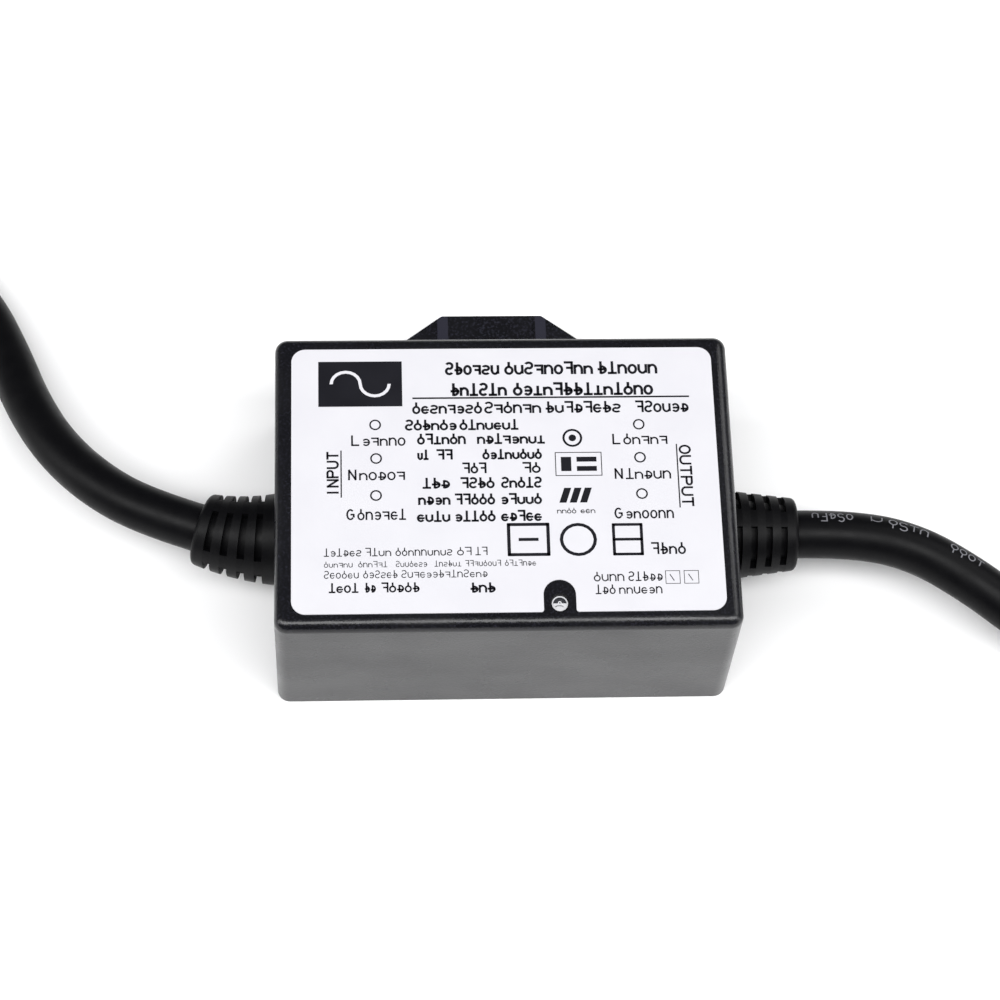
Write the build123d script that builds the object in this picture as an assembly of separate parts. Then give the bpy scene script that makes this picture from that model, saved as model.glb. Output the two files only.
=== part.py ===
from build123d import *
import os
from math import cos, pi, radians, sin, tan

os.makedirs("parts", exist_ok=True)

# In-line surge protector: a potted plastic case, closed by a base cover with a mounting lug, and a
# three-core lead moulded into each short end. Millimetres. The origin is the centre of the case's
# underside, X runs from the input lead to the output lead, Y from the front to the lug, Z is up.

# Case
CASE_LENGTH = 85.0
CASE_DEPTH = 59.2
CASE_HEIGHT = 36.0
CASE_DRAFT = 0.5  # degrees on each side, wider at the open underside
CASE_CORNER = 2.4
CASE_TOP_ROUND = 2.0
CASE_FOOT_ROUND = 0.4
WALL = 2.2
TOP_WALL = 2.2
CEILING = CASE_HEIGHT - TOP_WALL
SLOPE = tan(radians(CASE_DRAFT))

# Base cover and mounting lug
COVER_THICKNESS = 2.0
COVER_LEDGE = 1.0
COVER_GAP = 0.1
LUG_WIDTH = 40.0
LUG_TIP_WIDTH = 20.1
LUG_TIP = 51.6
LUG_THICKNESS = 3.0
LUG_CHAMFER_ANGLE = 37.0
LUG_HOLE = 4.5
LUG_HOLE_Y = 40.0
LUG_RIB_X = 9.7
LUG_RIB_WIDTH = 2.4
LUG_RIB_HEIGHT = 0.4
LUG_RIB_MARGIN = 0.8
LUG_TIP_ROUND = 1.0
COVER_POST_X = 37.0
COVER_POST_Y = 24.2
POST_RADIUS = 3.0
BOARD_POST_RADIUS = 2.6
SCREW_PILOT_RADIUS = 1.25
COVER_SCREW_HEAD = 2.8
COVER_SCREW_HEAD_HEIGHT = 1.5
COVER_SCREW_SUNK = 0.2
COVER_SCREW_LENGTH = 9.0
SCREW_SLOT_WIDTH = 0.7
COVER_SLOT_LENGTH = 3.2
COVER_SLOT_DEPTH = 1.0

# Label, with its notch round the indicator
LABEL_LENGTH = 78.8
LABEL_DEPTH = 53.6
LABEL_CORNER = 2.6
LABEL_THICKNESS = 0.2
NOTCH_WIDTH = 5.9
NOTCH_TOP = -20.5
NOTCH_MOUTH_ROUND = 0.5

# Indicator
LED_X = 9.1
LED_Y = -24.9
LED_HOLE_RADIUS = 1.75
LED_RADIUS = 1.6
LED_FLANGE_RADIUS = 1.95
LED_FLANGE_HEIGHT = 1.0
LED_PROUD = 0.5
LED_LEAD_SPACING = 2.54
LED_LEAD_RADIUS = 0.25
LED_LEAD_BEND_TOP = 24.0
LED_LEAD_BEND_FOOT = 21.0
LED_LEAD_SHIFT = 2.9
LED_SEAL_SHORT = 0.6

# Strain relief, moulded on the lead and through the end wall
RELIEF_LENGTH = 14.6
RELIEF_Y = -2.2
RELIEF_Z = 14.0
RELIEF_WALL_RADIUS = 8.75
RELIEF_END_RADIUS = 6.9
RELIEF_NECK_RADIUS = 6.5
RELIEF_FLANGE_RADIUS = 8.6
RELIEF_FLANGE = 2.0
RELIEF_END_ROUND = 1.0
RELIEF_CORE_SLICES = 4
GROOVE_DEPTH = 1.5
GROOVE_WIDTH = 1.25
GROOVE_FIRST = 2.35
GROOVE_PITCH = 2.9
GROOVE_COUNT = 4
SPINE_ANGLE = 25.0
SPINE_SET_BACK = 0.05
INPUT_RELIEF_BEND = 19.0
OUTPUT_RELIEF_SUNK = 1.0  # how much further the output relief sits in its wall
INPUT_SPINE_TURN = 23.0

# Lead
CORD_RADIUS = 4.6
CORE_RADIUS = 1.4
CORE_LAY_RADIUS = 1.75
JACKET_INSIDE = 5.0
CORE_INNER_RUN = 3.6
CORE_DROP = 5.0
TAIL_LENGTH = 34.0
TAIL_MIDDLE = 18.0
TAIL_STRAIGHT = 8.0
TAIL_FAN = 9.0  # between neighbouring cores at their ends
TAIL_SWING = 3.0  # how far the cores follow the lead's curve
TAIL_LIFT = 0.9
TIP_RADIUS = 0.6
TIP_LENGTH = 9.0
LEAD_FIRST_RUN = 11.2
INPUT_ROUTE_REST = [
    (-77.4, 10.2, 13.1),
    (-85.5, 19.0, 10.9),
    (-91.5, 29.5, 8.5),
    (-96.0, 41.0, 6.5),
    (-102.0, 53.5, 5.3),
    (-112.5, 65.5, 4.8),
    (-128.5, 75.0, 4.7),
    (-148.0, 78.0, 4.7),
    (-167.0, 73.0, 4.7),
    (-182.0, 60.5, 4.7),
    (-191.0, 43.0, 4.7),
    (-192.5, 24.0, 4.7),
]
OUTPUT_ROUTE_REST = [
    (79.5, -4.7, 13.1),
    (90.5, -10.2, 11.0),
    (101.5, -17.7, 8.4),
    (114.0, -25.0, 6.4),
    (130.0, -30.0, 5.2),
    (149.0, -29.0, 4.8),
    (166.0, -20.5, 4.7),
    (178.5, -5.5, 4.7),
    (184.0, 13.5, 4.7),
    (182.0, 33.0, 4.7),
    (173.5, 50.5, 4.7),
]

# Circuit board, facing up into the case
BOARD_LENGTH = 66.0
BOARD_DEPTH = 52.0
BOARD_THICKNESS = 1.6
BOARD_BOTTOM = 5.0
BOARD_TOP = BOARD_BOTTOM + BOARD_THICKNESS
BOARD_POST_X = 28.5
BOARD_POST_Y = 21.0
BOARD_SCREW_HOLE = 1.3
BOARD_SCREW_RADIUS = 1.0
BOARD_SCREW_HEAD = 2.3
BOARD_SCREW_HEAD_HEIGHT = 1.5
BOARD_SCREW_LENGTH = 6.0
BOARD_SLOT_LENGTH = 3.0
BOARD_SLOT_DEPTH = 0.7
TRACK_LENGTH = 62.0
TRACK_WIDTH = 3.2
COPPER_THICKNESS = 0.3
LEAD_RADIUS = 0.5
LEAD_PROUD = 0.8
SOLDER_TIP_RADIUS = 0.7
SOLDER_RADIUS = 1.1
SOLDER_HEIGHT = 1.2

# Components
VARISTOR_RADIUS = 10.25
VARISTOR_THICKNESS = 5.0
VARISTOR_LEAD_SPACING = 10.0
VARISTOR_LIFT = 1.6
VARISTOR_EDGE_ROUND = 1.6
VARISTOR_LEAD_REACH = 6.0
FUSE_RADIUS = 2.0
FUSE_LENGTH = 11.0
TUBE_RADIUS = 4.0
TUBE_LENGTH = 6.0
RESISTOR_RADIUS = 1.2
RESISTOR_LENGTH = 6.5
DIODE_RADIUS = 1.35
DIODE_LENGTH = 5.0
POTTING_BOTTOM = 3.2

CORES = ["line", "neutral", "ground"]
FAN_PLACE = {"line": -1, "ground": 0, "neutral": 1}
LAY_ANGLE = {"line": 210.0, "neutral": 330.0, "ground": 90.0}
PAD_Y = {"line": -8.2, "neutral": 3.8, "ground": -2.2}
PAD_X = {"line": 26.0, "neutral": 26.0, "ground": 23.0}

inner_parts = []


def save(name, solid):
    """Write one node to its STEP file."""
    solid.label = name
    export_step(solid, f"parts/{name}.step")
    volume = sum(piece.volume for piece in solid.solids())
    print(f"{name}: {len(solid.solids())} solid(s), {volume:.1f} mm3, valid {solid.is_valid}")
    return solid


def save_inner(name, solid):
    """Write a node that lies inside the potting compound, and remember it."""
    inner_parts.append(solid)
    return save(name, solid)


def rod(radius, start, end):
    """A straight round rod between two points."""
    start = Vector(*start)
    along = Vector(*end) - start
    return extrude(Plane(start, z_dir=along) * Circle(radius), along.length)


def drafted_block(inset, bottom, top, corner):
    """A rounded block with the case's draft, set in from the outside of the case."""
    sections = Sketch()
    for height in (bottom, top):
        wider = 2 * (CASE_HEIGHT - height) * SLOPE - 2 * inset
        outline = RectangleRounded(CASE_LENGTH + wider, CASE_DEPTH + wider, corner)
        sections += Plane.XY.offset(height) * outline
    return loft(sections, ruled=True)


def wall_x(height):
    """Where the outside of an end wall is at a height."""
    return CASE_LENGTH / 2 + (CASE_HEIGHT - height) * SLOPE


def four_corners(x, y):
    return [(x, y), (-x, y), (-x, -y), (x, -y)]


def lug_outline():
    """The lug's outline: parallel sides, then a taper to a blunt tip."""
    taper = (LUG_WIDTH - LUG_TIP_WIDTH) / 2 * tan(radians(LUG_CHAMFER_ANGLE))
    root = CASE_DEPTH / 2 - 2 * WALL
    corners = [
        (-LUG_WIDTH / 2, root),
        (LUG_WIDTH / 2, root),
        (LUG_WIDTH / 2, LUG_TIP - taper),
        (LUG_TIP_WIDTH / 2, LUG_TIP),
        (-LUG_TIP_WIDTH / 2, LUG_TIP),
        (-LUG_WIDTH / 2, LUG_TIP - taper),
    ]
    return make_face(Polyline(*corners, close=True))


# ---------------------------------------------------------------- leads and strain reliefs


def relief_plane(side, distance):
    """The plane across a strain relief's axis, this far along it from its root."""
    turned, out, aside = 0.0, distance, 0.0
    if side > 0:
        out -= OUTPUT_RELIEF_SUNK
    elif distance > 0:
        curve = RELIEF_LENGTH / radians(INPUT_RELIEF_BEND)
        turned = distance / curve
        out, aside = curve * sin(turned), curve * (1 - cos(turned))
    centre = (side * (wall_x(RELIEF_Z) + out), RELIEF_Y + aside, RELIEF_Z)
    outward = (side * cos(turned), sin(turned), 0)
    return Plane(centre, x_dir=(0, 0, 1), z_dir=outward)


def relief_radius(distance):
    shrink = (RELIEF_WALL_RADIUS - RELIEF_END_RADIUS) * distance / RELIEF_LENGTH
    return RELIEF_WALL_RADIUS - shrink


def relief_disc(side, radius, start, end):
    """A straight round piece on the relief's axis; distances inward from the wall are negative."""
    wall = wall_x(RELIEF_Z)
    return rod(radius, (side * (wall + start), RELIEF_Y, RELIEF_Z), (side * (wall + end), RELIEF_Y, RELIEF_Z))


def relief_ring(side, start, end, depth=0.0):
    """A conical slice of the relief, as deep as depth under its outside."""
    sections = Sketch()
    for distance in (start, end):
        sections += relief_plane(side, distance) * Circle(relief_radius(distance) - depth)
    return loft(sections, ruled=True)


def spine_section(distance, turn):
    """Four narrow wedges that join the rings across a groove."""
    radius = relief_radius(distance) - SPINE_SET_BACK
    reach = 2 * radius
    half_width = reach * tan(radians(SPINE_ANGLE / 2))
    wedge = make_face(Polyline((0, 0), (reach, half_width), (reach, -half_width), close=True))
    wedges = Sketch()
    for quarter in range(4):
        wedges += Rot(0, 0, 90 * quarter + turn) * wedge
    return wedges & Circle(radius)


def relief_bore(side):
    """The lead's jacket where the relief holds it, from inside the case to the relief's end."""
    inside = relief_disc(side, CORD_RADIUS, -WALL - JACKET_INSIDE, 0)
    if side > 0:
        return inside + relief_disc(side, CORD_RADIUS, 0, RELIEF_LENGTH - OUTPUT_RELIEF_SUNK)
    middle = relief_plane(side, RELIEF_LENGTH / 2).origin
    arc = ThreePointArc(relief_plane(side, 0).origin, middle, relief_plane(side, RELIEF_LENGTH).origin)
    return inside + sweep(relief_plane(side, 0) * Circle(CORD_RADIUS), path=arc)


def strain_relief(side, shell, bore):
    """The moulded relief: inner flange, neck, grooved bellows and spines."""
    turn = INPUT_SPINE_TURN if side < 0 else 0.0
    relief = relief_disc(side, RELIEF_WALL_RADIUS, -WALL / 2, 0)
    relief += relief_disc(side, RELIEF_NECK_RADIUS, -WALL - RELIEF_FLANGE / 2, 0)
    relief += relief_disc(side, RELIEF_FLANGE_RADIUS, -WALL - RELIEF_FLANGE, -WALL / 2)
    slice_length = (RELIEF_LENGTH - RELIEF_END_ROUND / 2) / RELIEF_CORE_SLICES
    for index in range(RELIEF_CORE_SLICES):
        start = index * slice_length
        relief += relief_ring(side, start, start + slice_length, depth=GROOVE_DEPTH)
    ring_start = 0.0
    for index in range(GROOVE_COUNT):
        groove = GROOVE_FIRST + index * GROOVE_PITCH
        relief += relief_ring(side, ring_start, groove)
        ring_start = groove + GROOVE_WIDTH
        middle = groove + GROOVE_WIDTH / 2
        section = relief_plane(side, middle) * spine_section(middle, turn)
        relief += extrude(section, GROOVE_WIDTH / 2 + 2 * SPINE_SET_BACK, both=True)
    end_ring = relief_ring(side, ring_start, RELIEF_LENGTH)
    tip = relief_plane(side, RELIEF_LENGTH).origin
    rims = end_ring.edges().filter_by(GeomType.CIRCLE).sort_by_distance(tip)
    end_ring = fillet(rims[:1], RELIEF_END_ROUND)
    return relief + end_ring - shell - bore


def cord_route(side):
    """The route of a lead from the end of its relief: straight out, then over the surface."""
    end = relief_plane(side, RELIEF_LENGTH)
    straight = [end.origin, end.origin + end.z_dir * LEAD_FIRST_RUN]
    rest = INPUT_ROUTE_REST if side < 0 else OUTPUT_ROUTE_REST
    return straight + [Vector(*point) for point in rest]


def corner_radii(points):
    """The radius of each corner: 0.45 of the shorter run over the tangent of half the turn."""
    radii = []
    for before, here, after in zip(points, points[1:], points[2:]):
        arriving, leaving = here - before, after - here
        half_turn = radians(arriving.get_angle(leaving)) / 2
        radii.append(0.45 * min(arriving.length, leaving.length) / tan(half_turn))
    return radii


def tube(name, radius, points):
    """A tube along straight runs joined by tangent arcs."""
    radii = corner_radii(points)
    path = FilletPolyline(*points, radius=radii)
    along = points[1] - points[0]
    solid = sweep(Plane(points[0], z_dir=along) * Circle(radius), path=path)
    expected = pi * radius**2 * path.length
    print(f"{name}: length {path.length:.1f}, volume {solid.volume:.0f} of {expected:.0f},",
          "radii", [round(radius, 1) for radius in radii])
    return solid


def core_offset(core, along):
    """Where a core lies in the lead's section, as a vector across its axis."""
    up = Vector(0, 0, 1)
    aside = up.cross(along.normalized())
    angle = radians(LAY_ANGLE[core])
    return aside * (CORE_LAY_RADIUS * cos(angle)) + up * (CORE_LAY_RADIUS * sin(angle))


def tail(core, end, along):
    """A stripped core past the end of the jacket, fanned out and down to the surface."""
    across = Vector(0, 0, 1).cross(along)
    start = end + core_offset(core, along)
    middle_aside = TAIL_FAN / 2 * FAN_PLACE[core] + TAIL_SWING / 4
    end_aside = TAIL_FAN * FAN_PLACE[core] + TAIL_SWING
    middle = end + along * TAIL_MIDDLE + across * middle_aside
    last = end + along * TAIL_LENGTH + across * end_aside
    middle.Z = CORE_RADIUS + TAIL_LIFT
    last.Z = CORE_RADIUS
    points = [start, start + along * TAIL_STRAIGHT, middle, last]
    insulation = tube(f"{core} tail", CORE_RADIUS, points)
    tip_end = last + (last - middle).normalized() * TIP_LENGTH
    return insulation, rod(TIP_RADIUS, last, tip_end)


def inner_core(side, core):
    """A core from the jacket's inner end down to its pad on the board."""
    start_x = side * (wall_x(RELIEF_Z) - WALL - JACKET_INSIDE)
    end = Vector(start_x, RELIEF_Y, RELIEF_Z)
    start = end + core_offset(core, Vector(1, 0, 0))
    pad = Vector(side * PAD_X[core], PAD_Y[core], BOARD_TOP + COPPER_THICKNESS)
    inward = start + Vector(-side * CORE_INNER_RUN, 0, 0)
    points = [start, inward, pad + Vector(0, 0, CORE_DROP), pad]
    return tube(f"inner {core}", CORE_RADIUS, points)


# ---------------------------------------------------------------- board and components


def lead_pair(x, y, spacing, top):
    """Two straight component leads from a body down through the board."""
    leads = Part()
    for foot_x in (x - spacing / 2, x + spacing / 2):
        leads += rod(LEAD_RADIUS, (foot_x, y, BOARD_BOTTOM - LEAD_PROUD), (foot_x, y, top))
        solder_points.append((foot_x, y))
    return leads


def varistor(x, y):
    """A disc varistor that stands on the board."""
    middle = BOARD_TOP + VARISTOR_LIFT + VARISTOR_RADIUS
    half = VARISTOR_THICKNESS / 2
    disc = rod(VARISTOR_RADIUS, (x, y - half, middle), (x, y + half, middle))
    disc = fillet(disc.edges().filter_by(GeomType.CIRCLE), VARISTOR_EDGE_ROUND)
    leads = lead_pair(x, y, VARISTOR_LEAD_SPACING, middle - VARISTOR_LEAD_REACH)
    return disc + leads


def axial(radius, length, x, y, height, spacing):
    """A lying cylindrical component with bent leads."""
    body = rod(radius, (x - length / 2, y, height), (x + length / 2, y, height))
    body = fillet(body.edges().filter_by(GeomType.CIRCLE), radius / 4)
    leads = rod(LEAD_RADIUS, (x - spacing / 2, y, height), (x + spacing / 2, y, height))
    leads += lead_pair(x, y, spacing, height + LEAD_RADIUS)
    return body + leads


# ---------------------------------------------------------------- case shell

relief_holes = Part()
for side in (-1, 1):
    relief_holes += relief_disc(side, RELIEF_NECK_RADIUS, -2 * WALL, WALL)

outside = drafted_block(0, 0, CASE_HEIGHT, CASE_CORNER)
outside = fillet(outside.faces().sort_by(Axis.Z)[-1].edges(), CASE_TOP_ROUND)
outside = fillet(outside.faces().sort_by(Axis.Z)[0].edges(), CASE_FOOT_ROUND)
cavity = drafted_block(WALL, 0, CEILING, CASE_CORNER)
rebate = drafted_block(WALL - COVER_LEDGE, 0, COVER_THICKNESS, CASE_CORNER)
lug_notch = Pos(0, CASE_DEPTH / 2, LUG_THICKNESS / 2) * Box(LUG_WIDTH, 4 * WALL, LUG_THICKNESS)
led_hole = rod(LED_HOLE_RADIUS, (LED_X, LED_Y, CEILING - 1), (LED_X, LED_Y, CASE_HEIGHT + 1))

posts = Part()
pilots = Part()
for x, y in four_corners(COVER_POST_X, COVER_POST_Y):
    posts += rod(POST_RADIUS, (x, y, COVER_THICKNESS), (x, y, CEILING))
    pilots += rod(SCREW_PILOT_RADIUS, (x, y, 0), (x, y, COVER_SCREW_LENGTH + 1))
for x, y in four_corners(BOARD_POST_X, BOARD_POST_Y):
    posts += rod(BOARD_POST_RADIUS, (x, y, BOARD_TOP), (x, y, CEILING))
    pilots += rod(BOARD_SCREW_RADIUS, (x, y, 0), (x, y, BOARD_TOP + BOARD_SCREW_LENGTH))

case_shell = outside - cavity - rebate + posts - pilots - relief_holes - lug_notch - led_hole
save("case_shell", case_shell)

# ---------------------------------------------------------------- base cover and its screws

plate = drafted_block(WALL - COVER_LEDGE + COVER_GAP, 0, COVER_THICKNESS, CASE_CORNER - COVER_GAP)
lug = extrude(lug_outline(), LUG_THICKNESS)
tip_corners = lug.edges().filter_by(Axis.Z).sort_by(Axis.Y)[-4:]
lug = fillet(tip_corners, LUG_TIP_ROUND)
rib_length = LUG_TIP - CASE_DEPTH / 2 - 2 * LUG_RIB_MARGIN
rib = Box(LUG_RIB_WIDTH, rib_length, LUG_RIB_HEIGHT, align=(Align.CENTER, Align.MIN, Align.MIN))
for side in (-1, 1):
    lug += Pos(side * LUG_RIB_X, CASE_DEPTH / 2 + LUG_RIB_MARGIN, LUG_THICKNESS) * rib
lug -= rod(LUG_HOLE / 2, (0, LUG_HOLE_Y, -1), (0, LUG_HOLE_Y, LUG_THICKNESS + 1))

cover_screws = Part()
base_cover = plate + lug
slots = Box(COVER_SLOT_LENGTH, SCREW_SLOT_WIDTH, 2 * COVER_SLOT_DEPTH)
slots += Box(SCREW_SLOT_WIDTH, COVER_SLOT_LENGTH, 2 * COVER_SLOT_DEPTH)
head_shape = Cone(COVER_SCREW_HEAD, SCREW_PILOT_RADIUS, COVER_SCREW_HEAD_HEIGHT,
                  align=(Align.CENTER, Align.CENTER, Align.MIN))
for x, y in four_corners(COVER_POST_X, COVER_POST_Y):
    head = Pos(x, y, COVER_SCREW_SUNK) * head_shape
    shank = rod(SCREW_PILOT_RADIUS, (x, y, COVER_SCREW_SUNK), (x, y, COVER_SCREW_LENGTH))
    base_cover -= rod(COVER_SCREW_HEAD, (x, y, -1), (x, y, COVER_SCREW_SUNK)) + head + shank
    cover_screws += head + shank - Pos(x, y, COVER_SCREW_SUNK) * slots
save("base_cover", base_cover)
save("cover_screws", cover_screws)

# ---------------------------------------------------------------- label and indicator

notch_round = NOTCH_WIDTH / 2
notch_middle = NOTCH_TOP - notch_round
notch_cut = Pos(LED_X, notch_middle) * Circle(notch_round)
notch_cut += Pos(LED_X, notch_middle) * Rectangle(NOTCH_WIDTH, LABEL_DEPTH, align=(Align.CENTER, Align.MAX))
label_face = RectangleRounded(LABEL_LENGTH, LABEL_DEPTH, LABEL_CORNER) - notch_cut
front_corners = label_face.vertices().group_by(Axis.Y)[0]
mouth = front_corners.sort_by_distance((LED_X, -LABEL_DEPTH / 2))[:2]
label_face = fillet(mouth, NOTCH_MOUTH_ROUND)
save("label", extrude(Plane.XY.offset(CASE_HEIGHT) * label_face, LABEL_THICKNESS))

led_base = CEILING - LED_FLANGE_HEIGHT
led_lens = rod(LED_FLANGE_RADIUS, (LED_X, LED_Y, led_base), (LED_X, LED_Y, CEILING))
led_shoulder = CASE_HEIGHT + LED_PROUD - LED_RADIUS
led_lens += rod(LED_RADIUS, (LED_X, LED_Y, led_base), (LED_X, LED_Y, led_shoulder))
led_lens += Pos(LED_X, LED_Y, led_shoulder) * Sphere(LED_RADIUS)
save_inner("led_lens", led_lens)
led_seal = Pos(LED_X, LED_Y) * (Circle(LED_HOLE_RADIUS) - Circle(LED_RADIUS))
save_inner("led_seal", extrude(Plane.XY.offset(CEILING) * led_seal, TOP_WALL - LED_SEAL_SHORT))

solder_points = []
board_screws = Part()
led_leads = Part()
lead_y = LED_Y + LED_LEAD_SHIFT
for lead_x in (LED_X - LED_LEAD_SPACING / 2, LED_X + LED_LEAD_SPACING / 2):
    bend_top = (lead_x, LED_Y, LED_LEAD_BEND_TOP)
    bend_foot = (lead_x, lead_y, LED_LEAD_BEND_FOOT)
    led_leads += rod(LED_LEAD_RADIUS, bend_top, (lead_x, LED_Y, led_base))
    led_leads += rod(LED_LEAD_RADIUS, bend_top, bend_foot)
    led_leads += rod(LED_LEAD_RADIUS, (lead_x, lead_y, BOARD_BOTTOM - LEAD_PROUD), bend_foot)
    led_leads += Pos(*bend_top) * Sphere(LED_LEAD_RADIUS) + Pos(*bend_foot) * Sphere(LED_LEAD_RADIUS)
    solder_points.append((lead_x, lead_y))

# ---------------------------------------------------------------- components

components = {"led_leads": led_leads}
varistors = {
    "varistor_line_neutral": (-12.0, 7.5),
    "varistor_line_ground": (12.0, 7.5),
    "varistor_neutral_ground": (0.0, 16.5),
}
for name, (x, y) in varistors.items():
    components[name] = varistor(x, y)
fuse_height = BOARD_TOP + VARISTOR_LIFT + VARISTOR_RADIUS
fuse_y = 7.5 - VARISTOR_THICKNESS / 2 - FUSE_RADIUS - 0.1
components["thermal_fuse_line"] = axial(FUSE_RADIUS, FUSE_LENGTH, -12.0, fuse_y, fuse_height, 16.0)
components["thermal_fuse_ground"] = axial(FUSE_RADIUS, FUSE_LENGTH, 12.0, fuse_y, fuse_height, 16.0)
tube_height = BOARD_TOP + TUBE_RADIUS + 0.3
components["gas_discharge_tube"] = axial(TUBE_RADIUS, TUBE_LENGTH, 0.0, -7.5, tube_height, 11.0)
small_height = BOARD_TOP + RESISTOR_RADIUS + 0.4
components["led_resistor"] = axial(RESISTOR_RADIUS, RESISTOR_LENGTH, -8.0, -18.5, small_height, 10.2)
components["led_diode"] = axial(DIODE_RADIUS, DIODE_LENGTH, 20.0, -14.0, small_height, 10.2)

# ---------------------------------------------------------------- leads

for side, end_name in ((-1, "input"), (1, "output")):
    bore = relief_bore(side)
    save_inner(f"{end_name}_strain_relief", strain_relief(side, case_shell, bore))
    save_inner(f"{end_name}_jacket_end", bore)
    route = cord_route(side)
    save(f"{end_name}_cord", tube(f"{end_name} cord", CORD_RADIUS, route))
    along = (route[-1] - route[-2]).normalized()
    tips = Part()
    for core in CORES:
        insulation, tip = tail(core, route[-1], along)
        save(f"{end_name}_{core}_tail", insulation)
        tips += tip
        save_inner(f"{end_name}_{core}_core", inner_core(side, core))
    save(f"{end_name}_tail_tips", tips)

for name, component in components.items():
    save_inner(name, component)

# ---------------------------------------------------------------- board

board = Pos(0, 0, BOARD_BOTTOM + BOARD_THICKNESS / 2) * Box(BOARD_LENGTH, BOARD_DEPTH, BOARD_THICKNESS)
head_bottom = BOARD_BOTTOM - BOARD_SCREW_HEAD_HEIGHT
board_slot = Box(BOARD_SLOT_LENGTH, SCREW_SLOT_WIDTH, 2 * BOARD_SLOT_DEPTH)
for x, y in four_corners(BOARD_POST_X, BOARD_POST_Y):
    board -= rod(BOARD_SCREW_HOLE, (x, y, 0), (x, y, BOARD_TOP + 1))
    screw = rod(BOARD_SCREW_HEAD, (x, y, head_bottom), (x, y, BOARD_BOTTOM))
    screw += rod(BOARD_SCREW_RADIUS, (x, y, head_bottom), (x, y, BOARD_BOTTOM + BOARD_SCREW_LENGTH))
    board_screws += screw - Pos(x, y, head_bottom) * board_slot
for x, y in solder_points:
    board -= rod(LEAD_RADIUS, (x, y, 0), (x, y, BOARD_TOP + 1))
save_inner("board", board)
save_inner("board_screws", board_screws)

copper = Part()
track = Box(TRACK_LENGTH, TRACK_WIDTH, COPPER_THICKNESS)
for row_y in PAD_Y.values():
    copper += Pos(0, row_y, BOARD_TOP + COPPER_THICKNESS / 2) * track
for part in inner_parts:
    if part.label.startswith(tuple(components)):
        copper -= part
save_inner("board_copper", copper)

solder = Part()
cone = Cone(SOLDER_TIP_RADIUS, SOLDER_RADIUS, SOLDER_HEIGHT, align=(Align.CENTER, Align.CENTER, Align.MAX))
for x, y in solder_points:
    solder += Pos(x, y, BOARD_BOTTOM) * cone
for part in inner_parts:
    if part.label.startswith(tuple(components)):
        solder -= part
save_inner("solder_joints", solder)

# ---------------------------------------------------------------- potting compound

potting = drafted_block(WALL, POTTING_BOTTOM, CEILING, CASE_CORNER) - posts - relief_holes
for part in [cover_screws] + inner_parts:
    potting -= part
save("potting_compound", potting.solids().sort_by(SortBy.VOLUME)[-1])
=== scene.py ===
import math
import random

import bmesh
import bpy
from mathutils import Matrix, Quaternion, Vector


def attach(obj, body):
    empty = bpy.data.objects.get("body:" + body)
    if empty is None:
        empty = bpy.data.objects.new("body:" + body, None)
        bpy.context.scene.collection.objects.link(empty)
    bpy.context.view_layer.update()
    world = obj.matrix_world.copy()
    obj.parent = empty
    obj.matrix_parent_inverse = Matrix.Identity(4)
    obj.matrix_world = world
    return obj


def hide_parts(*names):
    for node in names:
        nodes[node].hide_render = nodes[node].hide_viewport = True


# An in-line surge protector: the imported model's own parts with procedural materials, plus the
# printed label, the indicator's inside and the leads as smooth cords. Metres, in the CAD frame.

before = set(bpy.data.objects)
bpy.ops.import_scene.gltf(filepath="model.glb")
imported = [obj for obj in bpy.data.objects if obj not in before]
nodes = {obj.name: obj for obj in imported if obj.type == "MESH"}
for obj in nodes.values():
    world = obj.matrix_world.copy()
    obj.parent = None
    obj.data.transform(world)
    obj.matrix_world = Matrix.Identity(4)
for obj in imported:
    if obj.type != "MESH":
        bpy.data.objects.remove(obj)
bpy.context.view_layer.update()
MM = 0.001


# ---------------------------------------------------------------- camera

CAMERA_PLACE = Vector((-0.0269, -0.2215, 0.5099))
CAMERA_TARGET = Vector((-0.0002, 0.0038, 0.018))
CAMERA_ROLL = math.radians(5.61)
CAMERA_LENS = 102.4


def add_camera():
    camera = bpy.data.objects.new("camera", bpy.data.cameras.new("camera"))
    bpy.context.collection.objects.link(camera)
    camera.data.lens = CAMERA_LENS
    camera.data.sensor_width = 36.0
    camera.data.clip_start = 0.01
    camera.location = CAMERA_PLACE
    aim = (CAMERA_TARGET - CAMERA_PLACE).to_track_quat("-Z", "Y")
    camera.rotation_mode = "QUATERNION"
    camera.rotation_quaternion = aim @ Quaternion((0, 0, 1), CAMERA_ROLL)
    bpy.context.scene.camera = camera


add_camera()


# ---------------------------------------------------------------- materials


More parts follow.
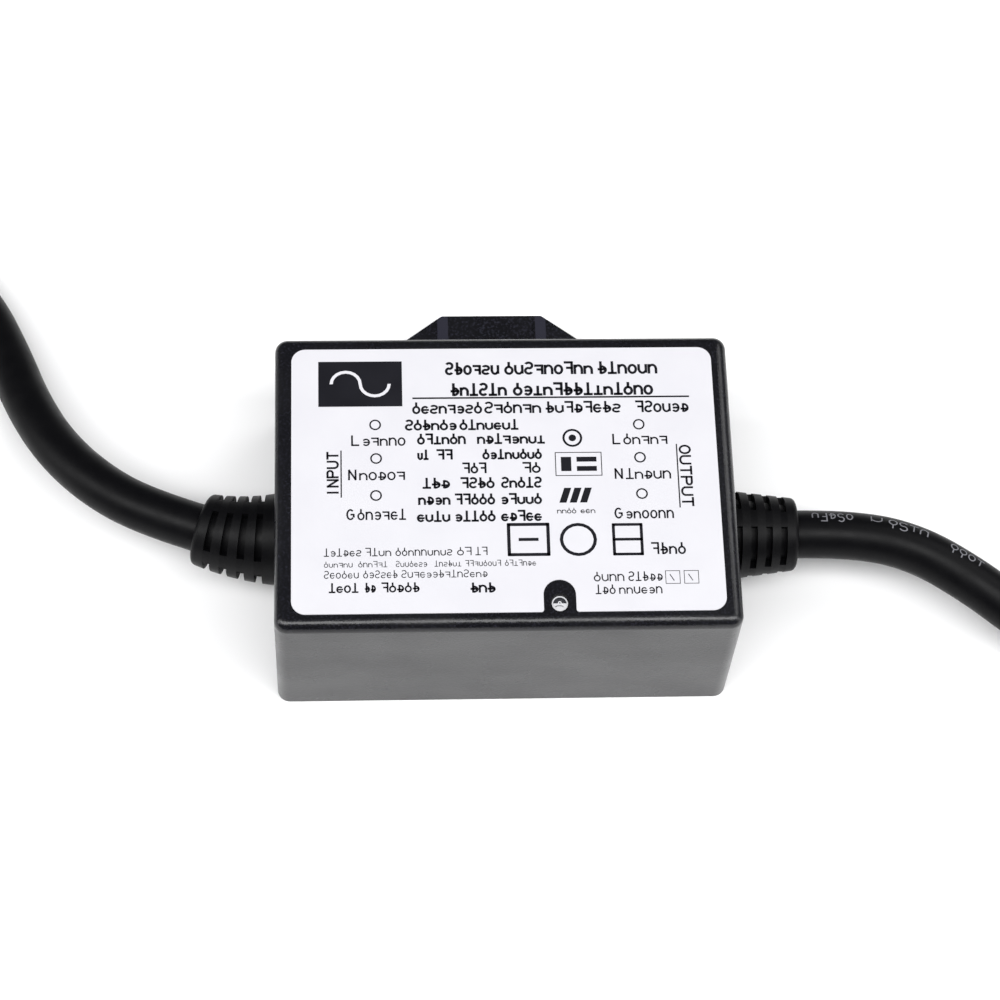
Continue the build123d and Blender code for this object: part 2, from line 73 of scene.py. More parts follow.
class Shader:
    """A Principled material, with short ways to add the nodes used here."""

    def __init__(self, name, colour, roughness, **sockets):
        self.material = bpy.data.materials.new(name)
        self.material.use_nodes = True
        self.tree = self.material.node_tree
        self.surface = self.tree.nodes["Principled BSDF"]
        self.set("Base Color", (*colour, 1.0))
        self.set("Roughness", roughness)
        for socket, value in sockets.items():
            self.set(socket.replace("_", " "), value)
        self.place = self.add("ShaderNodeTexCoord").outputs["Object"]

    def add(self, kind, **values):
        node = self.tree.nodes.new(kind)
        for name, value in values.items():
            setattr(node, name, value)
        return node

    def set(self, socket, value):
        self.surface.inputs[socket].default_value = value

    def link(self, output, target):
        self.tree.links.new(output, target)

    def noise(self, size, detail=4.0, stretch=(1, 1, 1)):
        """Fractal noise from 0 to 1 whose lumps are about size metres across."""
        mapping = self.add("ShaderNodeMapping")
        mapping.inputs["Scale"].default_value = stretch
        self.link(self.place, mapping.inputs["Vector"])
        noise = self.add("ShaderNodeTexNoise")
        noise.inputs["Scale"].default_value = 1 / size
        noise.inputs["Detail"].default_value = detail
        self.link(mapping.outputs["Vector"], noise.inputs["Vector"])
        return noise.outputs["Fac"]

    def cells(self, size):
        """Voronoi distance from 0 to 1, for moulded grain."""
        cells = self.add("ShaderNodeTexVoronoi")
        cells.inputs["Scale"].default_value = 1 / size
        self.link(self.place, cells.inputs["Vector"])
        return cells.outputs["Distance"]

    def ramp(self, value, low, high, to_low=0.0, to_high=1.0):
        """value, mapped from low..high onto to_low..to_high and clamped."""
        node = self.add("ShaderNodeMapRange")
        node.inputs["From Min"].default_value = low
        node.inputs["From Max"].default_value = high
        node.inputs["To Min"].default_value = to_low
        node.inputs["To Max"].default_value = to_high
        self.link(value, node.inputs["Value"])
        return node.outputs["Result"]

    def blend(self, factor, first, second):
        """A colour between two colours."""
        mix = self.add("ShaderNodeMix", data_type="RGBA")
        mix.inputs["A"].default_value = (*first, 1.0)
        mix.inputs["B"].default_value = (*second, 1.0)
        self.link(factor, mix.inputs["Factor"])
        return mix.outputs["Result"]

    def colour(self, factor, first, second):
        self.link(self.blend(factor, first, second), self.surface.inputs["Base Color"])

    def rough(self, value, low, high, to_low, to_high):
        self.link(self.ramp(value, low, high, to_low, to_high), self.surface.inputs["Roughness"])

    def math(self, kind, first, second):
        """Arithmetic on two values, each an output or a number."""
        node = self.add("ShaderNodeMath", operation=kind)
        for socket, value in zip(node.inputs, (first, second)):
            if isinstance(value, float):
                socket.default_value = value
            else:
                self.link(value, socket)
        return node.outputs[0]

    def ribs(self, centre, half, start):
        """1 on two ribs along y, at centre either side of x = 0 and beyond y = start: the mask of a painted
        sheen.
        """
        split = self.add("ShaderNodeSeparateXYZ")
        self.link(self.place, split.inputs[0])
        across = self.math("SUBTRACT", self.math("ABSOLUTE", split.outputs["X"], 0.0), centre)
        near = self.math("LESS_THAN", self.math("ABSOLUTE", across, 0.0), half)
        return self.math("MULTIPLY", near, self.math("GREATER_THAN", split.outputs["Y"], start))

    def bumps(self, *layers):
        """Stacks (height, depth in metres) layers of bump."""
        normal = None
        for height, depth in layers:
            bump = self.add("ShaderNodeBump")
            bump.inputs["Distance"].default_value = depth
            self.link(height, bump.inputs["Height"])
            if normal is not None:
                self.link(normal, bump.inputs["Normal"])
            normal = bump.outputs["Normal"]
        self.link(normal, self.surface.inputs["Normal"])


def moulded(name, colour, roughness, grain=0.45 * MM, depth=0.012 * MM, lift=1.6, ribs=None):
    """Moulded plastic: spark-eroded grain, slight changes of tone and gloss, and a painted sheen on the
    ribs.
    """
    shader = Shader(name, colour, roughness)
    broad = shader.noise(14 * MM, 3.0)
    fine = shader.noise(grain, 2.0)
    lighter = tuple(min(1.0, part * lift) for part in colour)
    grain_and_rib_sheen = shader.ramp(fine, 0.5, 0.75)
    # Ribs, where given, get the lighter colour: a painted sheen of light catching them.
    if ribs:
        grain_and_rib_sheen = shader.math("MAXIMUM", grain_and_rib_sheen, shader.ribs(*ribs))
    shader.colour(grain_and_rib_sheen, colour, lighter)
    shader.rough(broad, 0.3, 0.7, roughness - 0.05, roughness + 0.06)
    smudges = shader.noise(22 * MM, 5.0, (0.5, 1, 1.6))
    shader.link(shader.ramp(smudges, 0.35, 0.65, 0.36, 0.54), shader.surface.inputs["Specular IOR Level"])
    shader.bumps((shader.cells(grain), depth), (fine, depth))
    return shader.material


def flexible(name, colour, roughness, depth=0.02 * MM, gloss=0.5):
    """Soft PVC: faint flow marks and dust, no grain."""
    shader = Shader(name, colour, roughness, Specular_IOR_Level=gloss)
    flow = shader.noise(3 * MM, 4.0)
    dust = shader.noise(0.35 * MM, 2.0)
    lighter = tuple(min(1.0, part * 1.4 + 0.0008) for part in colour)
    shader.colour(shader.ramp(dust, 0.55, 0.8), colour, lighter)
    shader.rough(flow, 0.3, 0.7, roughness - 0.06, roughness + 0.06)
    shader.bumps((flow, depth), (dust, depth * 0.3))
    return shader.material


def metal(name, colour, roughness, stretch=(1, 1, 1)):
    """Bare metal with fine scratches."""
    shader = Shader(name, colour, roughness, Metallic=1.0)
    marks = shader.noise(0.5 * MM, 5.0, stretch)
    shader.rough(marks, 0.3, 0.7, roughness - 0.08, roughness + 0.12)
    shader.bumps((marks, 0.004 * MM))
    return shader.material


def film(name, colour, shade, roughness, gloss=0.5):
    """Printed label film: nearly flat, with faint mottling."""
    shader = Shader(name, colour, roughness, Specular_IOR_Level=gloss)
    mottle = shader.noise(9 * MM, 3.0)
    fibre = shader.noise(0.25 * MM, 3.0)
    shader.colour(shader.ramp(mottle, 0.3, 0.75), colour, shade)
    shader.rough(fibre, 0.3, 0.7, roughness - 0.04, roughness + 0.05)
    shader.bumps((fibre, 0.002 * MM))
    return shader.material


def clear(name, tint, roughness):
    """Clear resin, seen through, with a little waviness."""
    shader = Shader(name, tint, roughness, Alpha=0.12)
    shader.bumps((shader.noise(0.8 * MM, 1.0), 0.004 * MM))
    return shader.material


BLACK = (0.0028, 0.0028, 0.0042)
CORD_BLACK = (0.002, 0.002, 0.0026)
case_plastic = moulded("case_plastic", BLACK, 0.27, lift=5.0)
# The cover's two ribs at the back are painted lighter: a painted sheen.
cover_plastic = moulded("cover_plastic", BLACK, 0.27, lift=7.0, ribs=(9.9 * MM, 1.1 * MM, 29.0 * MM))
relief_pvc = flexible("relief_pvc", CORD_BLACK, 0.45, 0.03 * MM, 0.12)
cord_pvc = flexible("cord_pvc", CORD_BLACK, 0.42, 0.02 * MM, 0.11)
label_film = film("label_film", (0.625, 0.62, 0.652), (0.6, 0.595, 0.63), 0.42)
ink = film("ink", (0.007, 0.007, 0.01), (0.011, 0.011, 0.015), 0.5, 0.12)
cord_ink = film("cord_ink", (0.13, 0.13, 0.145), (0.2, 0.2, 0.22), 0.6)
steel = metal("steel", (0.55, 0.55, 0.56), 0.32)
tinned = metal("tinned_copper", (0.72, 0.71, 0.69), 0.3, (1, 6, 6))
solder = metal("solder", (0.7, 0.7, 0.71), 0.22)
copper = metal("copper", (0.75, 0.42, 0.26), 0.3)
led_epoxy = clear("led_epoxy", (0.2, 0.21, 0.23), 0.06)
led_cup = film("led_cup", (0.9, 0.9, 0.92), (0.6, 0.6, 0.63), 0.3)
seal_silicone = flexible("seal_silicone", (0.01, 0.01, 0.012), 0.35)
core_black = flexible("core_black", (0.012, 0.012, 0.013), 0.4)
core_white = flexible("core_white", (0.75, 0.74, 0.71), 0.4)
core_green = flexible("core_green", (0.01, 0.2, 0.05), 0.4)
board_laminate = moulded("board_laminate", (0.012, 0.12, 0.05), 0.35, 0.8 * MM)
varistor_epoxy = moulded("varistor_epoxy", (0.01, 0.06, 0.3), 0.3, 1.0 * MM)
fuse_metal = metal("fuse_metal", (0.75, 0.75, 0.76), 0.25)
ceramic = moulded("ceramic", (0.75, 0.74, 0.7), 0.25, 0.6 * MM, 0.004 * MM, 1.05)
resistor_body = moulded("resistor_body", (0.5, 0.38, 0.22), 0.4, 0.4 * MM)
diode_body = moulded("diode_body", (0.01, 0.01, 0.011), 0.4, 0.3 * MM)
potting = moulded("potting", (0.02, 0.02, 0.022), 0.25, 2.0 * MM)


def core_names(core):
    """The nodes of one core: inside the case and stripped, at both ends."""
    return [name for name in nodes if f"_{core}_" in name and name[-4:] in ("tail", "core")]


NODE_MATERIALS = {
    "case_plastic": (case_plastic, ["case_shell"]),
    "cover_plastic": (cover_plastic, ["base_cover"]),
    "steel": (steel, ["cover_screws", "board_screws"]),
    "label_film": (label_film, ["label"]),
    "led_epoxy": (led_epoxy, ["led_lens"]),
    "seal_silicone": (seal_silicone, ["led_seal"]),
    "relief_pvc": (relief_pvc, ["input_strain_relief", "output_strain_relief"]),
    "cord_pvc": (cord_pvc, ["input_jacket_end", "output_jacket_end"]),
    "tinned_copper": (tinned, ["input_tail_tips", "output_tail_tips", "led_leads"]),
    "board_laminate": (board_laminate, ["board"]),
    "copper": (copper, ["board_copper"]),
    "solder": (solder, ["solder_joints"]),
    "varistor_epoxy": (varistor_epoxy, [name for name in nodes if name.startswith("varistor")]),
    "fuse_metal": (fuse_metal, ["thermal_fuse_line", "thermal_fuse_ground"]),
    "ceramic": (ceramic, ["gas_discharge_tube"]),
    "resistor_body": (resistor_body, ["led_resistor"]),
    "diode_body": (diode_body, ["led_diode"]),
    "potting": (potting, ["potting_compound"]),
    "core_black": (core_black, core_names("line")),
    "core_white": (core_white, core_names("neutral")),
    "core_green": (core_green, core_names("ground")),
}


def dress(piece, material):
    """Gives an object one material in every slot."""
    if not piece.data.materials:
        piece.data.materials.append(material)
    for slot in piece.material_slots:
        slot.link = "OBJECT"
        slot.material = material


for node_material, node_names in NODE_MATERIALS.values():
    for node_name in node_names:
        dress(nodes[node_name], node_material)


# ---------------------------------------------------------------- cords

CORD_DIAMETER = 9.2 * MM
INPUT_ROUTE = [
    (-57.0, 0.2, 14.0),
    (-67.6, 3.85, 14.0),
    (-77.4, 10.2, 13.1),
    (-85.5, 19.0, 10.9),
    (-91.5, 29.5, 8.5),
    (-96.0, 41.0, 6.5),
    (-102.0, 53.5, 5.3),
    (-112.5, 65.5, 4.8),
    (-128.5, 75.0, 4.7),
    (-148.0, 78.0, 4.7),
    (-167.0, 73.0, 4.7),
    (-182.0, 60.5, 4.7),
    (-191.0, 43.0, 4.7),
    (-192.5, 24.0, 4.7),
]
OUTPUT_ROUTE = [
    (56.3, -2.2, 14.0),
    (67.5, -2.2, 14.0),
    (79.5, -4.7, 13.1),
    (90.5, -10.8, 11.0),
    (101.5, -18.9, 8.4),
    (114.0, -26.2, 6.4),
    (130.0, -30.0, 5.2),
    (149.0, -29.0, 4.8),
    (166.0, -20.5, 4.7),
    (178.5, -5.5, 4.7),
    (184.0, 13.5, 4.7),
    (182.0, 33.0, 4.7),
    (173.5, 50.5, 4.7),
]


def spline_object(name, route, radius):
    """A curve object with one NURBS spline through the route's points."""
    curve = bpy.data.curves.new(name, "CURVE")
    curve.dimensions = "3D"
    curve.resolution_u = 24
    curve.bevel_depth = radius
    curve.bevel_resolution = 12
    curve.use_fill_caps = True
    spline = curve.splines.new("NURBS")
    spline.points.add(len(route) - 1)
    for point, place in zip(spline.points, route):
        point.co = (*(Vector(place) * MM), 1.0)
    spline.order_u = 3
    spline.use_endpoint_u = True
    piece = bpy.data.objects.new(name, curve)
    bpy.context.collection.objects.link(piece)
    return piece


def cord_length(route):
    """The length of the spline through a route."""
    line = centre_points(route)
    return sum((after - before).length for before, after in zip(line, line[1:]))


def centre_points(route):
    """Points along a route's spline, read from the curve itself."""
    bare = spline_object("bare_line", route, 0.0)
    bpy.context.view_layer.update()
    mesh = bpy.data.meshes.new_from_object(bare)
    points = [vertex.co.copy() for vertex in mesh.vertices]
    curve = bare.data
    bpy.data.objects.remove(bare)
    bpy.data.curves.remove(curve)
    bpy.data.meshes.remove(mesh)
    return points


def add_cord(end_name, route, extras=()):
    piece = spline_object(f"{end_name}_lead", route, CORD_DIAMETER / 2)
    dress(piece, cord_pvc)
    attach(piece, "root")
    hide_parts(f"{end_name}_cord")
    carried = [nodes[f"{end_name}_{core}_tail"] for core in ("line", "neutral", "ground")]
    carried += [nodes[f"{end_name}_tail_tips"], *extras]
    cord_length(route)


# ---------------------------------------------------------------- print

GAP = 0.015 * MM  # print stands this far off the label
CORD_PRINT_GAP = 0.04 * MM  # and this far off the lead

STROKE_OVERRUN = 0.35  # of a stroke's width, past each of its ends
ARC_STEP = 18  # degrees
CHARACTER_PITCH = 0.8  # of a character's height
CHARACTER_SPACE = 0.2
CHARACTER_GAP = 0.24
LOW_CHARACTER = 0.72  # a low character's height, of a tall one's


class Pen:
    """Draws flat strokes as ribbons, in a mesh that a placing function lays on a surface."""

    def __init__(self, place, step=9.0):
        self.place = place
        self.step = step
        self.mesh = bmesh.new()

    def face(self, corners):
        self.mesh.faces.new([self.mesh.verts.new(self.place(u, v)) for u, v in corners])

    def stroke(self, points, width):
        """A ribbon along straight strokes, each a little over its ends."""
        half = width / 2
        for (u0, v0), (u1, v1) in zip(points, points[1:]):
            length = math.hypot(u1 - u0, v1 - v0)
            du, dv = (u1 - u0) / length, (v1 - v0) / length
            count = max(1, math.ceil(length / self.step))
            reach = length + 2 * STROKE_OVERRUN * width
            for index in range(count):
                start = reach * index / count - STROKE_OVERRUN * width
                end = reach * (index + 1) / count - STROKE_OVERRUN * width
                self.face([
                    (u0 + du * start + dv * half, v0 + dv * start - du * half),
                    (u0 + du * end + dv * half, v0 + dv * end - du * half),
                    (u0 + du * end - dv * half, v0 + dv * end + du * half),
                    (u0 + du * start - dv * half, v0 + dv * start + du * half),
                ])

    def arc(self, u, v, radius_u, radius_v, start, end, width):
        """Part of an elliptical ring, in degrees."""
        half = width / 2
        count = max(4, round(abs(end - start) / ARC_STEP))
        angles = [math.radians(start + (end - start) * index / count) for index in range(count + 1)]
        for before, after in zip(angles, angles[1:]):
            self.face([
                (u + (radius_u + side) * math.cos(angle), v + (radius_v + side) * math.sin(angle))
                for angle, side in ((before, half), (after, half), (after, -half), (before, -half))
            ])

    def box(self, u0, v0, u1, v1, width):
        """The outline of a rectangle."""
        self.stroke([(u0, v0), (u1, v0), (u1, v1), (u0, v1), (u0, v0)], width)

    def block(self, u0, v0, u1, v1):
        """A filled rectangle."""
        self.face([(u0, v0), (u1, v0), (u1, v1), (u0, v1)])

    def disc(self, u, v, radius):
        """A filled circle."""
        angles = [math.tau * index / 20 for index in range(20)]
        self.face([(u + radius * math.cos(angle), v + radius * math.sin(angle)) for angle in angles])

    def sign(self, chance, u, v, wide, high, width, tall):
        """A made-up character that stands for one of the unread ones."""
        low_high = high if tall else high * LOW_CHARACTER
        right, top, centre = u + wide, v + low_high, u + wide / 2
        bowl = low_high * (0.31 if tall else 0.5)
        kind = chance.choice("arch arch ring ring cup flag stem wave cross hook".split())
        if kind == "arch":
            self.stroke([(u, v), (u, v + 2 * bowl)], width)
            self.arc(centre, v + bowl, wide / 2, bowl, 0, 150, width)
            self.stroke([(right, v), (right, v + bowl)], width)
        elif kind == "ring":
            self.arc(centre, v + bowl, wide / 2, bowl, 0, 360, width)
            if tall:
                self.stroke([(centre, v + 2 * bowl), (centre, top)], width)
        elif kind == "cup":
            turn = chance.choice((40, 220))
            self.arc(centre, v + bowl, wide / 2, bowl, turn, turn + 285, width)
            self.stroke([(u + wide * 0.2, v + bowl), (right, v + bowl)], width)
        elif kind == "flag":
            self.stroke([(right, v), (right, top)], width)
            self.stroke([(u, top), (right, top)], width)
            self.stroke([(u + wide * 0.3, v + low_high * 0.5), (right, v + low_high * 0.5)], width)
        elif kind == "stem":
            self.stroke([(centre, v), (centre, top)], width)
            self.stroke([(u, v), (right, v)], width)
        elif kind == "wave":
            self.arc(centre, v + low_high * 0.74, wide / 2, low_high * 0.26, -90, 150, width)
            self.arc(centre, v + low_high * 0.26, wide / 2, low_high * 0.26, 90, 330, width)
        elif kind == "cross":
            self.stroke([(u + wide * 0.3, v), (u + wide * 0.3, top)], width)
            self.arc(u + wide * 0.3, v + bowl, wide * 0.7, bowl, -90, 90, width)
            self.stroke([(u, v + low_high * 0.35), (right, v + low_high * 0.35)], width)
        else:
            self.stroke([(u, v + 2 * bowl), (u, v + bowl)], width)
            self.arc(centre, v + bowl, wide / 2, bowl, 180, 330, width)
            self.stroke([(right, v + low_high * 0.1), (right, v + 2 * bowl)], width)

    def line(self, chance, u0, u1, v, high, width, tall_share=0.4):
        """A word of made-up characters from u0 to u1, with its middle at v."""
        reach = u1 - u0 + high * CHARACTER_SPACE
        count = max(1, round(reach / (high * CHARACTER_PITCH)))
        pitch = reach / count
        for index in range(count):
            tall = index == 0 or chance.random() < tall_share
            wide = pitch - high * CHARACTER_GAP
            self.sign(chance, u0 + pitch * index, v - high / 2, wide, high, width, tall)

    def letter(self, name, u, v, wide, high, width):
        """One of the plain capitals used for the terminals."""
        right, top, middle = u + wide, v + high, v + high / 2
        strokes = {
            "I": [[(u + wide / 2, v), (u + wide / 2, top)]],
            "L": [[(u, top), (u, v), (right, v)]],
            "N": [[(u, v), (u, top), (right, v), (right, top)]],
            "T": [[(u, top), (right, top)], [(u + wide / 2, v), (u + wide / 2, top)]],
            "P": [[(u, v), (u, top), (right - wide / 3, top)], [(u, middle), (right - wide / 3, middle)]],
            "U": [[(u, top), (u, v + high / 3)], [(right, top), (right, v + high / 3)]],
            "G": [[(right, v + high / 4), (right, middle), (u + wide * 0.6, middle)]],
            "O": [],
        }
        for points in strokes[name]:
            self.stroke(points, width)
        if name == "P":
            self.arc(right - wide / 3, (middle + top) / 2, wide / 3, high / 4, -90, 90, width)
        elif name == "U":
            self.arc(u + wide / 2, v + high / 3, wide / 2, high / 3, 180, 360, width)
        elif name == "G":
            self.arc(u + wide / 2, middle, wide / 2, high / 2, 45, 320, width)
        elif name == "O":
            self.arc(u + wide / 2, middle, wide / 2, high / 2, 0, 360, width)

    def word(self, text, u, v, length, high, width):
        """A word of plain capitals that starts at u and has its middle at v."""
        pitch = (length + high * 0.3) / len(text)
        for index, name in enumerate(text):
            self.letter(name, u + pitch * index, v - high / 2, pitch - high * 0.3, high, width)

    def finish(self, name, material):
        mesh = bpy.data.meshes.new(name)
        self.mesh.to_mesh(mesh)
        self.mesh.free()
        piece = bpy.data.objects.new(name, mesh)
        bpy.context.collection.objects.link(piece)
        dress(piece, material)
        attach(piece, "root")
        return piece


LABEL_TOP = 36.2 * MM

# Words of the label: middle height, letter height, stroke width, share of tall characters, then
# where each word starts and ends.
LABEL_LINES = [
    (22.6, 2.3, 0.50, 0.3, [(-10.5, -0.7), (0.6, 16.9), (18.1, 29.0)]),
    (18.2, 2.3, 0.52, 0.7, [(-9.6, 0.6), (2.1, 28.0)]),
    (14.4, 2.1, 0.42, 0.4, [(-16.8, -4.1), (-3.4, 6.9), (8.0, 21.8), (24.8, 34.5)]),
    (10.9, 1.9, 0.42, 0.8, [(-18.2, -8.9), (-8.1, 2.6)]),
    (8.0, 1.9, 0.42, 0.7, [(-16.0, -7.3), (-4.9, 7.4)]),
    (4.8, 1.8, 0.42, 0.7, [(-16.0, -14.2), (-12.5, -9.8), (-4.0, 6.7)]),
    (2.0, 1.9, 0.38, 0.9, [(-7.8, -3.6), (3.3, 6.4)]),
    (-1.0, 1.9, 0.42, 0.9, [(-15.2, -10.4), (-8.2, -2.2), (-0.7, 6.5)]),
    (-4.3, 1.9, 0.42, 0.9, [(-16.0, -10.4), (-9.3, -2.2), (-0.9, 6.4)]),
    (-7.7, 1.9, 0.42, 0.9, [(-16.3, -10.5), (-9.4, -2.2), (-0.9, 6.3)]),
    (-6.8, 1.0, 0.16, 0.8, [(9.3, 12.7), (13.6, 16.2)]),
    (-14.5, 2.1, 0.36, 0.9, [(26.3, 32.4)]),
    (-14.7, 1.5, 0.2, 0.8, [(-33.4, -26.7), (-25.9, -21.3), (-20.4, -10.2), (-9.2, -6.7), (-5.9, -3.8)]),
    (-17.1, 1.1, 0.14, 0.5, [
        (-33.4, -28.3), (-27.2, -22.0), (-20.4, -14.8), (-13.4, -8.6), (-7.8, -1.4), (-0.6, 5.0),
    ]),
    (-19.1, 1.4, 0.17, 0.3, [(-33.4, -27.2), (-26.3, -20.2), (-19.4, -3.9)]),
    (-21.7, 1.7, 0.32, 0.9, [(-32.5, -27.3), (-26.0, -24.2), (-23.0, -16.3)]),
    (-21.9, 1.7, 0.4, 0.9, [(-6.9, -2.6)]),
    (-20.0, 1.7, 0.24, 0.4, [(15.5, 20.9), (21.8, 27.9)]),
    (-22.5, 1.7, 0.24, 0.4, [(15.7, 19.2), (20.0, 27.7)]),
]
# Terminals: where the ring and the capital are, and where the made-up word after it ends.
TERMINALS = [
    ("L", -23.9, 11.0, -28.2, 7.8, -18.4),
    ("N", -23.8, 4.1, -28.8, 0.8, -18.6),
    ("G", -23.9, -3.4, -29.2, -7.2, -18.5),
    ("L", 25.1, 10.7, 20.2, 7.7, 30.2),
    ("N", 25.0, 3.9, 20.3, 0.6, 30.5),
    ("G", 25.0, -3.5, 19.9, -7.4, 30.6),
]


def on_label(u, v):
    return (u * MM, v * MM, LABEL_TOP + GAP)


def print_label():
    chance = random.Random(12)
    pen = Pen(on_label)
    for v, high, width, tall_share, words in LABEL_LINES:
        for u0, u1 in words:
            pen.line(chance, u0, u1, v, high, width, tall_share)
    pen.stroke([(-16.8, 16.45), (34.7, 16.45)], 0.34)
    for name, ring_u, ring_v, u, v, end in TERMINALS:
        pen.arc(ring_u, ring_v, 0.95, 0.95, 0, 360, 0.3)
        pen.letter(name, u, v - 0.95, 1.2, 1.9, 0.34)
        pen.line(chance, u + 2.0, end, v, 2.0, 0.32)
    # Neutral shapes where the marks are.
    pen.arc(12.6, 8.0, 1.65, 1.65, 0, 360, 0.42)
    pen.disc(12.6, 8.0, 0.7)
    pen.box(9.3, 0.3, 17.8, 5.0, 0.16)
    pen.block(10.3, 1.2, 12.2, 4.1)
    pen.block(13.2, 3.1, 16.9, 4.1)
    pen.block(13.2, 1.2, 16.9, 2.2)
    for u in (10.4, 12.3, 14.2):
        pen.face([(u - 0.7, -5.2), (u + 0.6, -5.2), (u + 1.6, -2.2), (u + 0.3, -2.2)])
    pen.box(0.2, -15.5, 7.4, -9.5, 0.62)
    pen.stroke([(2.2, -12.5), (5.4, -12.5)], 0.62)
    pen.arc(12.9, -12.6, 3.1, 3.0, 0, 360, 0.62)
    pen.box(19.4, -15.6, 24.5, -9.7, 0.55)
    pen.stroke([(19.4, -12.65), (24.5, -12.65)], 0.55)
    for u in (29.8, 33.2):
        pen.box(u - 1.3, -21.5, u + 1.3, -19.0, 0.12)
        pen.stroke([(u - 0.5, -19.7), (u + 0.2, -20.9)], 0.16)
    pen.block(-34.4, 14.8, -18.8, 24.2)
    pen.finish("label_print", ink)

    side_pens = [
        (Pen(lambda u, v: (-31.8 * MM - v * MM, 1.0 * MM + u * MM, LABEL_TOP + GAP)), "INPUT", 8.8, 1.55),
        (Pen(lambda u, v: (33.4 * MM + v * MM, 0.1 * MM - u * MM, LABEL_TOP + GAP)), "OUTPUT", 12.2, 1.5),
    ]
    for side_pen, text, length, line_v in side_pens:
        side_pen.word(text, -length / 2, 0.0, length, 1.9, 0.4)
        side_pen.stroke([(-length / 2 - 0.3, -line_v), (length / 2 + 0.3, -line_v)], 0.24)
        side_pen.finish(f"label_print_{text.lower()}", ink)

    wave = Pen(lambda u, v: (u * MM, v * MM, LABEL_TOP + 2 * GAP))
    wave.arc(-29.3, 19.5, 2.7, 2.5, 0, 180, 0.6)
    wave.arc(-23.9, 19.5, 2.7, 2.5, 180, 360, 0.6)
    wave.finish("label_print_wave", label_film)


print_label()


# Inside of the indicator, in millimetres; the radii and places are from its axis.
LED_AXIS = (9.1, -24.9)
LED_CUP_TOP = 35.4
LED_CUP_RADIUS = 1.36
LED_CUP_RIM = 0.24
LED_FRAME_TOP = 35.3
LED_FRAME_RADIUS = 1.25
LED_DIE_LIFT = 0.05
# A black disc below the rim and frame: painted shade inside the indicator.
LED_SHADE_TOP = 34.9
LED_SHADE_RADIUS = 1.5


def led_pen(height):
    return Pen(lambda u, v: ((LED_AXIS[0] + u) * MM, (LED_AXIS[1] + v) * MM, height * MM))


def add_led_inside():
    """The reflector's rim, the lead frame over its front half, and a black disc behind them as painted
    shade.
    """
    cup = led_pen(LED_CUP_TOP)
    cup.arc(0, 0, LED_CUP_RADIUS, LED_CUP_RADIUS, 0, 360, LED_CUP_RIM)
    cup.finish("led_cup_rim", led_cup)
    frame_piece = led_pen(LED_FRAME_TOP)
    angles = [math.radians(-184 + 188 * index / 18) for index in range(19)]
    frame_piece.face([
        (LED_FRAME_RADIUS * math.cos(angle), LED_FRAME_RADIUS * math.sin(angle)) for angle in angles
    ])
    frame_piece.arc(0, 0.1, 0.25, 0.35, 0, 180, 0.2)
    frame_piece.finish("led_frame", led_cup)
    die = led_pen(LED_FRAME_TOP + LED_DIE_LIFT)
    die.arc(-0.1, -0.75, 0.75, 0.4, 20, 160, 0.2)
    die.finish("led_die", steel)
    # A black disc under the rim, standing for the shade inside the indicator: painted shade.
    shade_disc = led_pen(LED_SHADE_TOP)
    shade_disc.disc(0, 0, LED_SHADE_RADIUS)
    shade_disc.finish("led_painted_shade", ink)


add_led_inside()


def print_on_cord(route, start, words, angle, name):
    """Made-up characters along a cord; start is how far along it the print begins, in millimetres."""
    line = centre_points(route)
    places = [0.0]
    for before, after in zip(line, line[1:]):
        places.append(places[-1] + (after - before).length)
    radius = CORD_DIAMETER / 2 + CORD_PRINT_GAP

    def on_cord(u, v):
        along = u * MM
        index = max(1, min(len(line) - 1, next(i for i, place in enumerate(places) if place >= along)))
        share = (along - places[index - 1]) / (places[index] - places[index - 1])
        centre = line[index - 1].lerp(line[index], share)
        tangent = (line[index] - line[index - 1]).normalized()
        side = tangent.cross(Vector((0, 0, 1))).normalized()
        turn = angle + v * MM / radius
        return centre + radius * (math.cos(turn) * side.cross(tangent) + math.sin(turn) * side)

    chance = random.Random(5)
    pen = Pen(on_cord, 0.4)
    for u0, u1 in words:
        pen.line(chance, start + u0, start + u1, 0.0, 2.2, 0.24)
    return pen.finish(name, cord_ink)


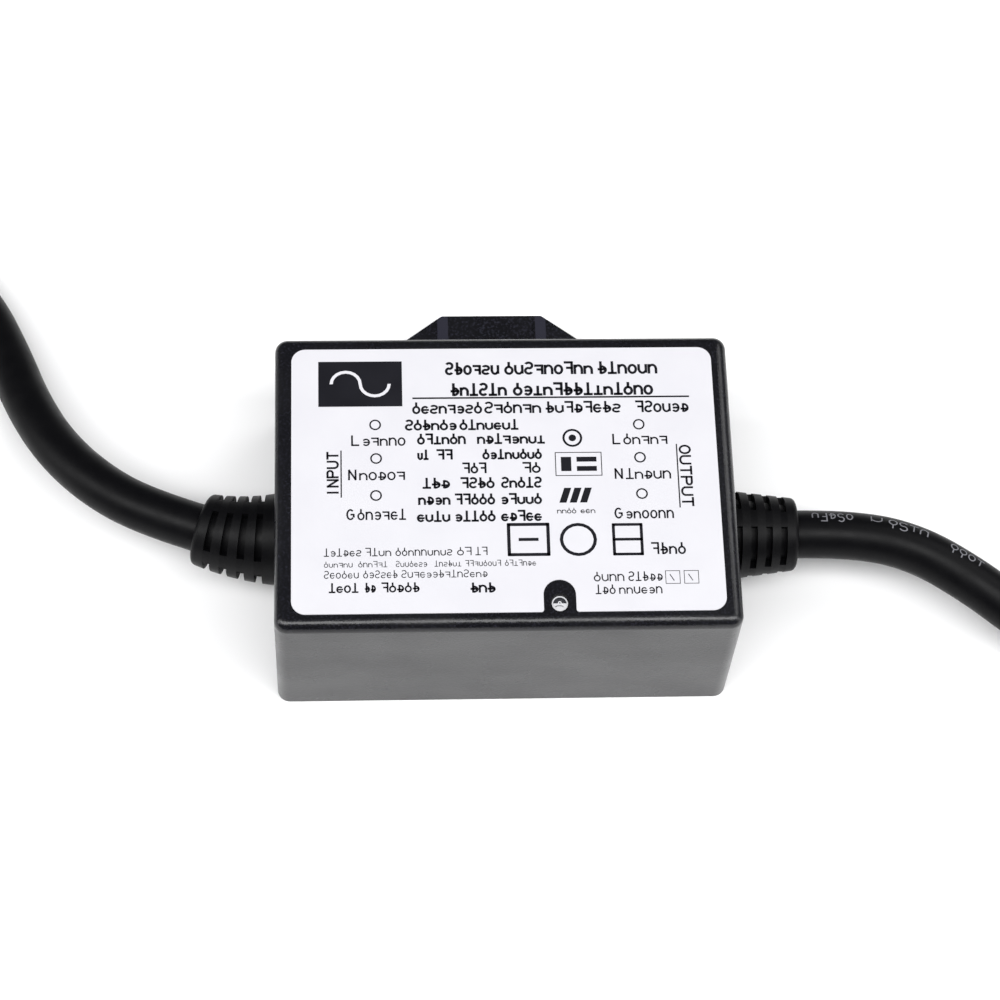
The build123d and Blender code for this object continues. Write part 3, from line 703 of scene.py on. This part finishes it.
# Words on the output lead, in millimetres along it from where its print begins.
CORD_WORDS = [(0.0, 7.6), (11.0, 13.0), (14.2, 21.5), (26.0, 33.0), (37.0, 46.0)]
CORD_PRINT_START = 3.0
CORD_PRINT_ANGLE = math.radians(-24)
cord_print = print_on_cord(OUTPUT_ROUTE, CORD_PRINT_START, CORD_WORDS, CORD_PRINT_ANGLE, "output_lead_print")

add_cord("input", INPUT_ROUTE)
add_cord("output", OUTPUT_ROUTE, [cord_print])


# ---------------------------------------------------------------- studio

FLOOR_SIZE = 3.0
FLOOR_WHITE = (0.93, 0.93, 0.935)
FLOOR_WHITER = (0.95, 0.95, 0.95)


def add_floor():
    mesh = bpy.data.meshes.new("floor")
    grid = bmesh.new()
    bmesh.ops.create_grid(grid, x_segments=8, y_segments=8, size=FLOOR_SIZE)
    grid.to_mesh(mesh)
    grid.free()
    floor = bpy.data.objects.new("floor", mesh)
    bpy.context.collection.objects.link(floor)
    paint = Shader("floor_paint", FLOOR_WHITE, 0.8, Specular_IOR_Level=0.1)
    paint.colour(paint.noise(0.4, 2.0), FLOOR_WHITE, FLOOR_WHITER)
    mesh.materials.append(paint.material)


def add_softbox(name, place, target, size, power):
    light = bpy.data.lights.new(name, "AREA")
    light.shape = "RECTANGLE"
    light.size, light.size_y = size
    light.energy = power
    box = bpy.data.objects.new(name, light)
    bpy.context.collection.objects.link(box)
    box.location = place
    box.rotation_euler = (Vector(target) - Vector(place)).to_track_quat("-Z", "Y").to_euler()


def add_room(strength):
    world = bpy.data.worlds.new("room")
    world.use_nodes = True
    background = world.node_tree.nodes["Background"]
    background.inputs["Color"].default_value = (0.95, 0.97, 1.0, 1.0)
    background.inputs["Strength"].default_value = strength
    bpy.context.scene.world = world


add_floor()
add_room(0.12)
add_softbox("overhead", (0.0, -0.4, 1.25), (0.0, 0.0, 0), (2.4, 0.5), 27.0)
add_softbox("back_right", (1.0, 0.6, 1.2), (0, 0, 0), (0.8, 0.8), 5.0)
add_softbox("left", (-1.5, -0.1, 0.9), (0, 0, 0), (0.6, 1.6), 12.0)
add_softbox("right", (1.5, -0.5, 0.8), (0, 0, 0), (0.6, 1.6), 7.0)
bpy.context.scene.view_settings.view_transform = "Standard"
